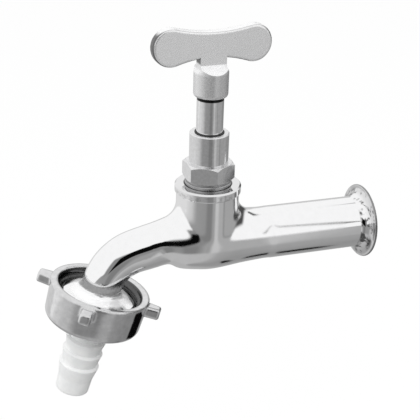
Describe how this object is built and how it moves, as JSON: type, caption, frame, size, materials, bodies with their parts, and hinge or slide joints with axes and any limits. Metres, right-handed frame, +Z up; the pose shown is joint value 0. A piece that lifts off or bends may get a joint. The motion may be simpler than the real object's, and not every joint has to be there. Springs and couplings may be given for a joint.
{
  "type": "garden tap",
  "caption": "Chromed wall-mounted garden tap with a winged handle, rising screw spindle and jumper valve, and a lugged union nut that holds a barbed plastic hose tail.",
  "frame": {"origin": "centre of the inlet socket's mouth on the back face of the wall flange", "axes": "+X points into the wall along the inlet, +Z up along the spindle, the spout reaches towards -X"},
  "size_m": [0.1366, 0.0472, 0.1496],
  "materials": {
    "chrome_cast": "polished chrome over cast metal, with the soft unevenness of a buffed casting",
    "chrome_turned": "turned and chromed, with fine rings from the lathe",
    "chrome_handle": "chromed die casting, slightly satin on its flat faces",
    "chrome_nut": "chromed die casting with slight orange peel",
    "brass_plain": "plain turned brass",
    "rubber_black": "matte black rubber",
    "fibre_grey": "pressed fibre, matte",
    "white_plastic": "natural white moulded plastic, slightly translucent",
    "screw_steel": "dark steel"
  },
  "bodies": {
    "tap_body": {"body": "chrome_cast", "bonnet": "chrome_turned", "bonnet_gasket": "fibre_grey", "wiper_ring": "rubber_black"},
    "valve": {"jumper_valve": "brass_plain", "valve_washer": "rubber_black", "washer_nut": "brass_plain"},
    "spindle_set": {"spindle": "chrome_turned", "upper_o_ring": "rubber_black", "lower_o_ring": "rubber_black", "handle": "chrome_handle", "handle_screw": "screw_steel"},
    "tail_set": {"hose_tail": "white_plastic", "outlet_washer": "rubber_black"},
    "nut_set": {"union_nut": "chrome_nut"}
  },
  "joints": [
    {"name": "valve_lift", "type": "slide", "parent": "tap_body", "child": "valve", "axis": [0, 0, 1], "range_m": [-0.003, 0.003]},
    {"name": "spindle_turn", "type": "hinge", "parent": "valve", "child": "spindle_set", "pos_m": [-0.0693, 0, 0], "axis": [0, 0, 1], "range_deg": [-540, 540]},
    {"name": "tail_release", "type": "slide", "parent": "tap_body", "child": "tail_set", "axis": [-0.2807, 0, -0.9598], "range_m": [0, 0.00519]},
    {"name": "union_nut_turn", "type": "hinge", "parent": "tail_set", "child": "nut_set", "pos_m": [-0.11267, 0, -0.0156], "axis": [-0.2807, 0, -0.9598], "range_deg": [0, 810]}
  ],
  "couplings": [
    {"joint": "spindle_turn", "follows": "valve_lift", "rad_per_m": 3141.6},
    {"joint": "union_nut_turn", "follows": "tail_release", "rad_per_m": 2721.2}
  ]
}
